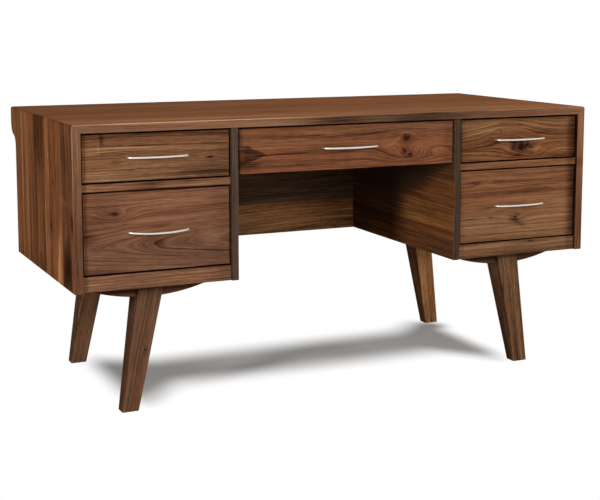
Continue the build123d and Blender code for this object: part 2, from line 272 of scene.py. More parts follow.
class Wires:
    """Adds shader nodes to one tree and joins them. A value is a number, a tuple or a node's output."""

    def __init__(self, tree):
        self.tree = tree

    def put(self, socket, value):
        if isinstance(value, bpy.types.NodeSocket):
            self.tree.links.new(value, socket)
        else:
            socket.default_value = value

    def node(self, kind, inputs=None, **settings):
        made = self.tree.nodes.new(f"ShaderNode{kind}")
        for key, value in settings.items():
            setattr(made, key, value)
        for key, value in (inputs or {}).items():
            self.put(made.inputs[key], value)
        return made

    def group(self, tree, inputs):
        return self.node("Group", inputs, node_tree=tree).outputs

    def math(self, operation, *values):
        return self.node("Math", dict(enumerate(values)), operation=operation).outputs[0]

    add = partialmethod(math, "ADD")
    less = partialmethod(math, "SUBTRACT")
    times = partialmethod(math, "MULTIPLY")
    over = partialmethod(math, "DIVIDE")
    larger = partialmethod(math, "MAXIMUM")
    absolute = partialmethod(math, "ABSOLUTE")

    def total(self, start, *terms):
        """A start value plus each term times its weight."""
        result = start
        for value, weight in terms:
            result = self.math("MULTIPLY_ADD", value, weight, result)
        return result

    def bell(self, value):
        """1 at zero, falling off on both sides."""
        return self.math("EXPONENT", self.times(self.times(value, value), -1.0))

    def smooth(self, value, low, high):
        inputs = {"Value": value, "From Min": low, "From Max": high}
        return self.node("MapRange", inputs, interpolation_type="SMOOTHSTEP").outputs["Result"]

    def fall(self, value, low, high):
        """1 below a span, falling to 0 over it."""
        return self.less(1.0, self.smooth(value, low, high))

    def vector(self, operation, *values):
        return self.node("VectorMath", dict(enumerate(values)), operation=operation).outputs[0]

    def scale(self, vector, factor):
        inputs = {"Vector": vector, "Scale": factor}
        return self.node("VectorMath", inputs, operation="SCALE").outputs[0]

    def length(self, vector):
        return self.node("VectorMath", {0: vector}, operation="LENGTH").outputs["Value"]

    def split(self, vector):
        return self.node("SeparateXYZ", {"Vector": vector}).outputs[:3]

    def join(self, x, y, z=0.0):
        return self.node("CombineXYZ", {"X": x, "Y": y, "Z": z}).outputs[0]

    def own_place(self):
        return self.node("TexCoord").outputs["Object"]

    def noise(self, place, stretch=None, detail=2.0, dimensions="3D", output="Fac"):
        if stretch:
            place = self.vector("MULTIPLY", place, stretch)
        inputs = {"Vector": place, "Scale": 1.0, "Detail": detail}
        return self.node("TexNoise", inputs, noise_dimensions=dimensions).outputs[output]

    def flat_noise(self, x, y):
        return self.noise(self.join(x, y), dimensions="2D")

    def wave(self, place, stretch=None):
        """Noise in three directions, round zero."""
        return self.vector("SUBTRACT", self.noise(place, stretch, output="Color"), (0.5, 0.5, 0.5))

    def chance(self, value):
        return self.node("TexWhiteNoise", {"W": value}, noise_dimensions="1D").outputs["Value"]

    def ramp(self, value, stops, interpolation="LINEAR"):
        made = self.node("ValToRGB", {"Fac": value})
        made.color_ramp.interpolation = interpolation
        elements = made.color_ramp.elements
        elements[0].position, elements[1].position = stops[0][0], stops[-1][0]
        for stop in stops[1:-1]:
            elements.new(stop[0])
        for element, stop in zip(elements, stops):
            element.color = stop[1]
        return made.outputs["Color"]

    def mix(self, factor, first, second):
        return self.node("Mix", {0: factor, 6: first, 7: second}, data_type="RGBA").outputs[2]


def new_group(name, inputs, outputs):
    """Empty node group with its sockets, its wires, its input sockets and a function that sets an output."""
    tree = bpy.data.node_groups.new(name, "ShaderNodeTree")
    for key in inputs:
        kind = "NodeSocketVector" if key in ("Place", "Pith", "Centre", "Half") else "NodeSocketFloat"
        tree.interface.new_socket(key, in_out="INPUT", socket_type=kind)
    for key in outputs:
        tree.interface.new_socket(key, in_out="OUTPUT", socket_type="NodeSocketFloat")
    wires = Wires(tree)
    given = tree.nodes.new("NodeGroupInput").outputs
    result = tree.nodes.new("NodeGroupOutput").inputs
    return tree, wires, given, lambda key, value: wires.put(result[key], value)


def make_grain():
    """Figure of sawn wood: growth rings round a leaning pith, with the grain along X of Place."""
    inputs = ("Place", "Pith", "Lean", "Ring", "Push", "Seed", "Short")
    tree, w, given, give = new_group("grain", inputs, ("Tone", "Cast", "Height"))
    seed = given["Seed"]
    shifted = w.vector("ADD", given["Place"], w.scale(SEED_SHIFT, seed))
    bent = given["Place"]
    for stretch, reach in GRAIN_WAVES:
        bend = w.vector("MULTIPLY", w.wave(shifted, stretch), (0.0, reach, reach))
        bent = w.vector("ADD", bent, bend)
    along, across, through = w.split(bent)
    pith = w.split(given["Pith"])
    lift = w.total(pith[2], (given["Lean"], along))
    radius = w.length(w.join(0.0, w.less(across, pith[1]), w.less(through, lift)))
    count = w.over(w.add(radius, given["Push"]), given["Ring"])
    count = w.total(count, (seed, SEED_RINGS))
    share, reach = RING_UNEVEN
    count = w.total(count, (w.flat_noise(w.times(count, share), seed), reach))
    part = w.math("FRACT", count)
    late = w.less(w.smooth(part, *LATE_RISE), w.smooth(part, *LATE_FALL))
    strength = w.total(LATE_LEAST, (w.chance(w.math("FLOOR", count)), 1.0 - LATE_LEAST))
    parts = {"late": w.times(late, strength)}
    run = w.total(seed, (along, given["Short"]))
    for key, (ring_share, run_share) in RING_STREAKS.items():
        parts[key] = w.flat_noise(w.times(count, ring_share), w.times(run, run_share))
    parts["cloud"] = w.noise(shifted, CLOUD_STRETCH)
    parts["fibre"] = w.noise(shifted, FIBRE_STRETCH, detail=1.0)
    parts["pores"] = w.smooth(w.noise(shifted, PORE_STRETCH, detail=0.0), *PORE_SPAN)
    give("Tone", w.total(TONE_START, *[(parts[key], weight) for key, weight in TONE_WEIGHTS.items()]))
    give("Cast", w.smooth(w.noise(shifted, CAST_STRETCH, detail=1.0), *CAST_SPAN))
    give("Height", w.total(HEIGHT_START, *[(parts[key], weight) for key, weight in HEIGHT_WEIGHTS.items()]))
    return tree


def make_knot():
    """One knot: how far it pushes the rings aside, its dark core and the dusk round it."""
    inputs = ("Place", "Centre", "Size", "Spread", "Eye", "Seed")
    tree, w, given, give = new_group("knot", inputs, ("Push", "Core", "Dusk"))
    size = given["Size"]
    reach = w.times(size, KNOT_REACH)
    offset = w.vector("SUBTRACT", given["Place"], given["Centre"])
    moved = w.vector("ADD", w.scale(given["Place"], KNOT_RAGGED), w.join(given["Seed"], 0.0))
    ragged = w.vector("ADD", offset, w.scale(w.wave(moved), reach))
    near = w.over(w.length(w.vector("MULTIPLY", ragged, KNOT_SQUASH)), size)
    along, across = w.split(offset)[:2]
    field = w.bell(w.over(w.length(w.join(w.over(along, KNOT_STRETCH), across)), reach))
    apart = w.times(w.over(across, reach), w.times(field, given["Spread"]))
    give("Push", w.less(w.times(field, given["Eye"]), apart))
    give("Core", w.fall(near, *KNOT_CORE))
    give("Dusk", w.bell(w.times(near, KNOT_DUSK_FALL)))
    return tree


def make_mark():
    """One streak or smudge, longer along the grain than across it, even or broken up by the grain."""
    tree, w, given, give = new_group("mark", ("Place", "Centre", "Half", "Slant"), ("Even", "Broken"))
    along, across = w.split(w.vector("SUBTRACT", given["Place"], given["Centre"]))[:2]
    across = w.less(across, w.times(along, given["Slant"]))
    half = w.split(given["Half"])
    near = w.add(w.math("POWER", w.over(along, half[0]), 2.0), w.math("POWER", w.over(across, half[1]), 2.0))
    even = w.math("EXPONENT", w.times(near, -1.0))
    give("Even", even)
    give("Broken", w.times(even, w.smooth(w.noise(given["Place"], MARK_STRETCH), *MARK_SPAN)))
    return tree


def make_fan():
    """Dark feather of grain that spreads from a point towards lower X of Place."""
    tree, w, given, give = new_group("fan", ("Place", "Centre", "Size", "Spread"), ("Dark",))
    along, across = w.split(w.vector("SUBTRACT", given["Centre"], given["Place"]))[:2]
    slope = w.over(across, w.larger(along, FAN_START))
    slope = w.total(slope, (w.noise(given["Place"], FAN_STRETCH), FAN_WANDER))
    slope_share, run_share = FAN_STREAKS
    streaks = w.flat_noise(w.times(slope, slope_share), w.times(along, run_share))
    steep = w.over(w.absolute(w.less(slope, FAN_WANDER / 2)), given["Spread"])
    far = w.over(along, given["Size"])
    within = w.times(w.smooth(far, *FAN_NEAR), w.fall(far, *FAN_FAR))
    within = w.times(within, w.fall(steep, *FAN_SIDE))
    least, more = FAN_DARK
    give("Dark", w.times(within, w.total(least, (w.smooth(streaks, *FAN_STREAK_SPAN), more))))
    return tree


GRAIN = make_grain()
KNOT = make_knot()
MARK = make_mark()
FAN = make_fan()


def new_material(name):
    """Material with its wires and the inputs of its Principled shader."""
    material = bpy.data.materials.new(name)
    material.use_nodes = True
    shader = material.node_tree.nodes["Principled BSDF"]
    return material, Wires(material.node_tree), shader.inputs


def give_relief(w, surface, relief, height):
    """Fine relief of a surface, as strength and depth."""
    strength, depth = relief
    bump = w.node("Bump", {"Strength": strength, "Distance": depth, "Height": height})
    w.put(surface["Normal"], bump.outputs["Normal"])


def board_axes(node, order):
    """Axes of a plain board, centred on its middle, in the order along, across, through."""
    low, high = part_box(node)
    middle = dict(zip("xyz", (low + high) / 2))
    return tuple((axis, 1, middle[axis]) for axis in order)


def board_place(w, axes, lean):
    """Place on a board: along, across and through the grain, each as (axis, sign, start)."""
    coordinates = dict(zip("xyz", w.split(w.own_place())))
    place = w.join(*[coordinates[axis] for axis, sign, start in axes])
    signs = [sign for axis, sign, start in axes]
    starts = [-sign * start for axis, sign, start in axes]
    place = w.vector("MULTIPLY_ADD", place, signs, starts)
    if any(lean):
        along = w.split(place)[0]
        place = w.vector("ADD", place, w.scale((0.0, *lean), along))
    return place


def glue_staves(w, place, staves, span):
    """Splits a panel into glued staves: each (start, tone) gets its own figure and shade."""
    low, high = span
    width = high - low
    starts = mm(*[start for start, tone in staves])
    stops = []
    for number, (start, end) in enumerate(zip(starts, starts[1:] + [width])):
        tone = staves[number][1] + MIDDLE_TONE
        stops.append((start / width, (tone, (number * GOLDEN) % 1.0, (start + end) / 2 / width, 1.0)))
    along, across, through = w.split(place)
    wander = w.noise(place, JOINT_STRETCH)
    share = w.over(w.total(w.less(across, low + JOINT_WANDER / 2), (wander, JOINT_WANDER)), width)
    colour = w.ramp(share, stops, "CONSTANT")
    tone, shuffle, middle = w.node("SeparateColor", {"Color": colour}).outputs[:3]
    across = w.less(across, w.total(low, (middle, width)))
    own = [w.total(value, (shuffle, shift)) for value, shift in zip((along, across, through), STAVE_SHIFT)]
    return w.join(*own), w.less(tone, MIDDLE_TONE)


def mark_on(w, place, along, across, long, wide, slant=0.0):
    """Outputs of one mark on a board."""
    along, across, long, wide = mm(along, across, long, wide)
    inputs = {"Place": place, "Centre": (along, across, 0.0), "Half": (long, wide, 1.0), "Slant": slant}
    return w.group(MARK, inputs)


def wood(name, axes, colour, seed, pith=(-200, -100), ring=4.5, lean=0.0, contrast=1.0, short=1.0,
         leg_lean=(0.0, 0.0), staves=(), span=(0.0, 1.0), knots=(), marks=(), bands=(), bends=(), fans=(),
         shades=WALNUT_SHADES, rough=0.6):
    """Material of one sawn board round its mean screen colour.

    Knots are (along, across, size, spread, eye, depth), marks and bands (along, across, long, wide, depth)
    and perhaps a slant, bends (along, across, long, wide, rise), fans (along, across, size, spread, depth).
    Marks are broken up by the grain, and bands aren't. Staves are (start, tone), from the low end of their
    span. A mesh may carry a layer of painted light and shade, which lightens or darkens single faces.
    """
    material, w, surface = new_material(name)
    place = board_place(w, axes, leg_lean)
    push = 0.0
    # Painted light and shade that the mesh gives single faces
    tone = w.add(w.node("Attribute", attribute_name=PAINTED_LIGHT_LAYER).outputs["Fac"], MIDDLE_TONE)
    for number, (*lengths, depth) in enumerate(knots):
        along, across, size, spread, eye = mm(*lengths)
        knot = w.group(KNOT, {
            "Place": w.vector("MULTIPLY", place, KNOT_FLAT), "Centre": (along, across, 0.0), "Size": size,
            "Spread": spread, "Eye": eye, "Seed": seed + number * KNOT_SEED_STEP,
        })
        push = w.add(push, knot["Push"])
        tone = w.total(tone, (knot["Core"], -depth), (knot["Dusk"], -depth * KNOT_DUSK))
    for key, streaks in (("Broken", marks), ("Even", bands)):
        for along, across, long, wide, depth, *slant in streaks:
            mark = mark_on(w, place, along, across, long, wide, *slant)
            tone = w.total(tone, (mark[key], -depth))
    for *lengths, rise in bends:
        push = w.total(push, (mark_on(w, place, *lengths)["Even"], *mm(-rise)))
    for *lengths, spread, depth in fans:
        along, across, size = mm(*lengths)
        fan = w.group(FAN, {"Place": place, "Centre": (along, across, 0.0), "Size": size, "Spread": spread})
        tone = w.total(tone, (fan["Dark"], -depth))
    if staves:
        place, stave_tone = glue_staves(w, place, staves, span)
        tone = w.add(tone, stave_tone)
    ring, *pith = mm(ring, *pith)
    grain = w.group(GRAIN, {
        "Place": place, "Pith": (0.0, *pith), "Lean": lean, "Ring": ring, "Push": push, "Seed": seed,
        "Short": short,
    })
    tone = w.total(tone, (grain["Tone"], contrast))
    red = w.ramp(tone, shaded(colour, shades, RED_CAST))
    olive = w.ramp(tone, shaded(colour, shades, OLIVE_CAST))
    w.put(surface["Base Color"], w.mix(grain["Cast"], red, olive))
    w.put(surface["Roughness"], w.total(rough + ROUGH_SPREAD / 2, (grain["Height"], -ROUGH_SPREAD)))
    w.put(surface["Specular IOR Level"], WOOD_SPECULAR)
    give_relief(w, surface, WOOD_RELIEF, grain["Height"])
    return material


def metal(name, colour, rough, brush):
    """Metal with a fine brushed or rolled surface and faint uneven tone."""
    material, w, surface = new_material(name)
    streaks = w.noise(w.own_place(), brush)
    cloud = w.noise(w.own_place(), CLOUDY)
    tone = w.total(-MIDDLE_TONE, (streaks, 1.0), (cloud, 1.0))
    w.put(surface["Base Color"], w.ramp(tone, toned(colour, METAL_SHADES)))
    w.put(surface["Metallic"], 1.0)
    w.put(surface["Roughness"], w.total(rough - sum(METAL_ROUGH) / 2, *zip((streaks, cloud), METAL_ROUGH)))
    give_relief(w, surface, METAL_RELIEF, streaks)
    return material


def moulded(name, colour):
    """Moulded plastic with a fine grainy skin."""
    material, w, surface = new_material(name)
    skin = w.noise(w.own_place(), PLASTIC_GRAIN)
    cloud = w.noise(w.own_place(), CLOUDY, detail=1.0)
    w.put(surface["Base Color"], w.ramp(cloud, toned(colour, PLASTIC_SHADES)))
    least, more = PLASTIC_ROUGH
    w.put(surface["Roughness"], w.total(least, (skin, more)))
    give_relief(w, surface, PLASTIC_RELIEF, skin)
    return material


def paint(node, material):
    """Gives a carried-over CAD node its material."""
    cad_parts[node].material_slots[0].material = material


def new_mesh(name, bm, materials):
    """Mesh with its materials, from a finished form."""
    mesh = bpy.data.meshes.new(name)
    bm.to_mesh(mesh)
    bm.free()
    for material in materials:
        mesh.materials.append(material)
    return mesh


def new_object(name, data):
    """Object in the scene with its mesh, lamp or camera."""
    made = bpy.data.objects.new(name, data)
    bpy.context.scene.collection.objects.link(made)
    return made


def new_piece(bm, materials, node, body):
    """Object of a form that stands for a CAD node and rides on its body."""
    name = f"finished_{node}"
    bm.normal_update()
    mesh = new_mesh(name, bm, materials)
    mesh.shade_smooth()
    mesh.set_sharp_from_angle(angle=CREASE_ANGLE)
    piece = new_object(name, mesh)
    normals = piece.modifiers.new("weighted_normals", "WEIGHTED_NORMAL")
    normals.keep_sharp = True
    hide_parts(node)
    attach(piece, body)
    return piece


def ease(bm, edges, amount, arris):
    """Rounds edges over by an amount and gives the new faces their painted tone: a highlight when lighter,
    shade when darker.
    """
    tones = bm.faces.layers.float.new(PAINTED_LIGHT_LAYER)
    made = bmesh.ops.bevel(bm, geom=edges, offset=amount, offset_type="OFFSET", segments=EASE_STEPS,
                           profile=0.5, affect="EDGES", clamp_overlap=True)
    for face in made["faces"]:
        face[tones] = arris
    bm.normal_update()
    return tones


def eased_block(node, amount, material, body, arris=0.0, gaps="", shade=0.0):
    """Plain board with all its arrises eased, in place of a CAD node that is a box.

    The faces that look along the axes of its gaps take a painted shade, standing for the shadow in the gaps.
    """
    low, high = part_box(node)
    bm = bmesh.new()
    bmesh.ops.create_cube(bm, size=1.0)
    for vert in bm.verts:
        vert.co = Vector(low[i] if vert.co[i] < 0 else high[i] for i in range(3))
    tones = ease(bm, bm.edges[:], amount, arris)
    for face in bm.faces:
        if any(abs(face.normal["xyz".index(axis)]) > GAP_TURN for axis in gaps):
            face[tones] = shade
    return new_piece(bm, [material], node, body)


def inside(point, box):
    """Whether a point lies in a box or on its skin."""
    low, high = box
    return all(low[i] - CONTACT <= point[i] <= high[i] + CONTACT for i in range(3))


def round_corner(bm, outward, numbers):
    """Rounds a case board's share of the corner over a mitre with flat cuts, and returns their faces."""
    centre = Vector((outward * (HALF_WIDTH - CORNER_ROUND), 0.0, TOP_FACE - CORNER_ROUND))
    made = []
    for number in numbers:
        angle = math.pi / 2 * number / CORNER_CUTS
        out = Vector((outward * math.cos(angle), 0.0, math.sin(angle)))
        geometry = bm.verts[:] + bm.edges[:] + bm.faces[:]
        cut = bmesh.ops.bisect_plane(bm, geom=geometry, dist=WELD, plane_co=centre + out * CORNER_ROUND,
                                     plane_no=out, clear_outer=True)
        rim = [item for item in cut["geom_cut"] if isinstance(item, bmesh.types.BMEdge)]
        made += bmesh.ops.contextual_create(bm, geom=rim)["faces"]
    bmesh.ops.recalc_face_normals(bm, faces=bm.faces[:])
    return made


def hidden_faces(bm, against):
    """Faces of holes, and faces that lie on one of the boards against this one."""
    boxes = [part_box(name) for name in against]
    holes = {face for face in bm.faces if face.calc_area() < HOLE_FACE}
    return holes | {face for face in bm.faces if any(inside(face.calc_center_median(), box) for box in boxes)}


def open_arrises(bm, hidden):
    """Sharp edges that no hidden face touches."""
    joined = [edge for edge in bm.edges if len(edge.link_faces) == 2]
    shown = [edge for edge in joined if not hidden.intersection(edge.link_faces)]
    return [edge for edge in shown if edge.calc_face_angle() > SHARP_ANGLE]


def eased_copy(node, amount, material, against, arris=0.0, inner=None, shade=INNER_SHADE, lipping=None,
               corners=()):
    """Board of a less plain shape: a CAD node's own form with its arrises eased, except in its joints.

    The faces that look the inner way take a painted shade, and a lipping covers the faces that look to the
    front.
    Corners are the sides on which the board's end is rounded, each with the numbers of its cuts; the faces
    there that look up and outwards take a painted shade.
    """
    bm = bmesh.new()
    bm.from_mesh(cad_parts[node].data)
    bmesh.ops.remove_doubles(bm, verts=bm.verts[:], dist=WELD)
    bmesh.ops.dissolve_limit(bm, angle_limit=FLAT_ANGLE, verts=bm.verts[:], edges=bm.edges[:])
    bm.normal_update()
    rounded = []
    for outward, numbers in corners:
        rounded += round_corner(bm, outward, numbers)
    hidden = hidden_faces(bm, against).difference(rounded)
    tones = ease(bm, open_arrises(bm, hidden), amount, arris)
    for face in bm.faces:
        face.material_index = 0
        if inner and face.normal.dot(Vector(inner)) > INNER_TURN:
            face[tones] = shade
        if corners and face.normal.z > CORNER_TURN and abs(face.normal.x) > CORNER_TURN:
            face[tones] = CORNER_SHADE
        if lipping and face.normal.y < -LIPPING_TURN:
            face.material_index = 1
    materials = [material, lipping] if lipping else [material]
    return new_piece(bm, materials, node, "desk")


def arc_points(centre, radius, start, end, steps):
    """Points of an arc between two angles."""
    angles = [start + (end - start) * step / steps for step in range(steps + 1)]
    return [(centre[0] + radius * math.cos(a), centre[1] + radius * math.sin(a)) for a in angles]


def pull_line(shoulder):
    """Centre line of a bow pull in plan, from one foot to the other, with the drawer face at y = 0."""
    half = PULL_SPACING / 2
    bow = (half ** 2 + PULL_RISE ** 2) / (2 * PULL_RISE)
    bow_centre = (0.0, bow - shoulder - PULL_RISE)
    bend_x = half - PULL_BEND
    bend_y = bow_centre[1] - math.sqrt((bow - PULL_BEND) ** 2 - bend_x ** 2)
    turn = math.atan2(bend_y - bow_centre[1], -bend_x) + 2 * math.pi
    left = [(-half, 0.0), (-half, -PULL_FOOT_HEIGHT)]
    left += arc_points((-bend_x, bend_y), PULL_BEND, math.pi, turn, BEND_STEPS)
    crown = arc_points(bow_centre, bow, turn, 3 * math.pi - turn, BOW_STEPS)[1:-1]
    return left + crown + [(-x, y) for x, y in reversed(left)]


def foot_radius(height):
    """Radius of the pull's rod, flaring to a foot where it meets the drawer."""
    if height >= PULL_FOOT_HEIGHT:
        return PULL_ROD
    flare = 1 - height / PULL_FOOT_HEIGHT
    return PULL_ROD + (PULL_FOOT - PULL_ROD) * flare


def ring_of(bm, centre, side, up, radius):
    """Ring of vertices round a centre, in the plane of two directions."""
    ring = []
    for number in range(PULL_SIDES):
        angle = 2 * math.pi * number / PULL_SIDES
        ring.append(bm.verts.new(centre + radius * (math.cos(angle) * side + math.sin(angle) * up)))
    return ring


def skin_over(bm, rings):
    """Closed tube over rings, capped at both ends."""
    for first, second in zip(rings, rings[1:]):
        for number in range(PULL_SIDES):
            following = (number + 1) % PULL_SIDES
            bm.faces.new((first[number], first[following], second[following], second[number]))
    bm.faces.new(rings[0][::-1])
    bm.faces.new(rings[-1])


def screw_head(bm, foot):
    """Domed screw head inside the drawer, seen when it is open."""
    side, up, out = Vector((1, 0, 0)), Vector((0, 0, 1)), Vector((0, 1, 0))
    rings = []
    for height, share in SCREW_HEAD_RINGS:
        rings.append(ring_of(bm, foot + out * height * SCREW_HEAD_HEIGHT, side, up, share * SCREW_HEAD))
    skin_over(bm, rings)


def bow_pull(drawer, material):
    """Round bow pull on two flared feet, with the heads of its screws behind the front."""
    node = f"{drawer}_drawer_pull"
    low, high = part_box(node)
    face_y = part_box(f"{drawer}_drawer_front")[0].y
    middle = Vector(((low.x + high.x) / 2, face_y, (low.z + high.z) / 2))
    shoulder = face_y - low.y - PULL_ROD - PULL_RISE
    line = pull_line(shoulder)
    bm = bmesh.new()
    rings = []
    for number, (x, y) in enumerate(line):
        before = line[max(number - 1, 0)]
        after = line[min(number + 1, len(line) - 1)]
        ahead = Vector((after[0] - before[0], after[1] - before[1], 0)).normalized()
        side = Vector((-ahead.y, ahead.x, 0))
        droop = PULL_DROOP.get(drawer, 0.0) * max(0.0, -y - shoulder) / PULL_RISE
        rings.append(ring_of(bm, middle + Vector((x, y, -droop)), side, Vector((0, 0, 1)), foot_radius(-y)))
    skin_over(bm, rings)
    for end in (-1, 1):
        screw_head(bm, Vector((middle.x + end * PULL_SPACING / 2, high.y - SCREW_HEAD_HEIGHT, middle.z)))
    bmesh.ops.recalc_face_normals(bm, faces=bm.faces[:])
    return new_piece(bm, [material], node, f"{drawer}_drawer")


# Glued staves of the waterfall case, from its front edge to its rear, with their tones
CASE_STAVES = (
    (0, -0.08), (141, -0.05), (241, 0.11), (291, -0.15), (412, -0.03), (475, 0.1), (540, 0.16), (566, 0.09),
)
CASE_WOOD = dict(seed=3, pith=(-120, -160), lean=0.035, span=(0, CASE_DEPTH))

# Figure of the top and of the sides, along from the middle of the top and over the corners
TOP_CALM = 0.18
TOP_FIGURE = dict(
    colour=(115, 75, 51), contrast=0.55, staves=[(start, tone * TOP_CALM) for start, tone in CASE_STAVES],
    # The two lighter bands near the front edge are painted sheen; the faint wide band at the rear makes it
    # darker towards the rear
    bands=((0, 60, 2000, 70, -0.1), (-550, 90, 350, 45, -0.1), (438, 157, 170, 8, -0.18),
           (-148, 197, 50, 20, 0.12), (0, 620, 2000, 250, 0.03)),
)
LEFT_FIGURE = dict(
    colour=(114, 71, 45), contrast=1.15, staves=CASE_STAVES,
    knots=((-873, 252, 4, 8, 0, 0.36), (-926, 202, 5.5, 10, 0, 0.36), (-1044, 230, 5.5, 10, 0, 0.36)),
    marks=((-1126, 66, 50, 36, 0.26), (-1005, 12, 25, 12, 0.6), (-800, 350, 100, 45, 0.16)),
    # The wide band low down makes the side darker towards the bottom
    bands=((-1100, 142, 65, 10, -0.5, -0.12), (-1175, 150, 50, 20, -0.56, -0.1), (-1100, 60, 120, 55, 0.2),
           (-1126, 66, 55, 40, 0.2), (-864, 60, 110, 90, 0.14), (-830, 380, 80, 30, 0.12),
           (-964, 90, 8, 35, -0.14), (-1124, 350, 60, 50, -0.12), (-1000, 350, 100, 50, -0.1),
           (-1080, 268, 140, 25, 0.14), (-1194, 350, 60, 450, 0.08), (-1115, 160, 60, 110, -0.12),
           (-920, 557, 160, 11, -0.2)),
)
RIGHT_FIGURE = dict(colour=(112, 72, 47), staves=CASE_STAVES)

# Front edges of the case, from the middle of the top's width or of a side's height
TOP_EDGE = dict(
    colour=(110, 78, 59), seed=5, contrast=0.7,
    # The thin lighter band along the top of its left half is a painted highlight on the arris
    bands=((-620, 0, 220, 100, -0.04), (-240, 0, 100, 100, -0.1), (-20, 0, 90, 100, 0.31),
           (220, 0, 150, 100, 0.24), (-450, 0, 420, 3, -0.34)),
)
SIDE_EDGE = {
    "left": dict(
        colour=(100, 69, 51), contrast=0.7,
        # The thin lighter band high up by the outer face is a painted highlight on the arris
        bands=((200, 0, 100, 100, -0.13), (-130, 0, 100, 100, 0.08), (100, -11.5, 200, 3, -0.3)),
    ),
    "right": dict(
        colour=(109, 72, 51), contrast=0.7,
        bands=((160, 0, 80, 100, -0.15), (-160, 0, 90, 100, 0.16), (49, 0, 15, 100, 0.16)),
    ),
}

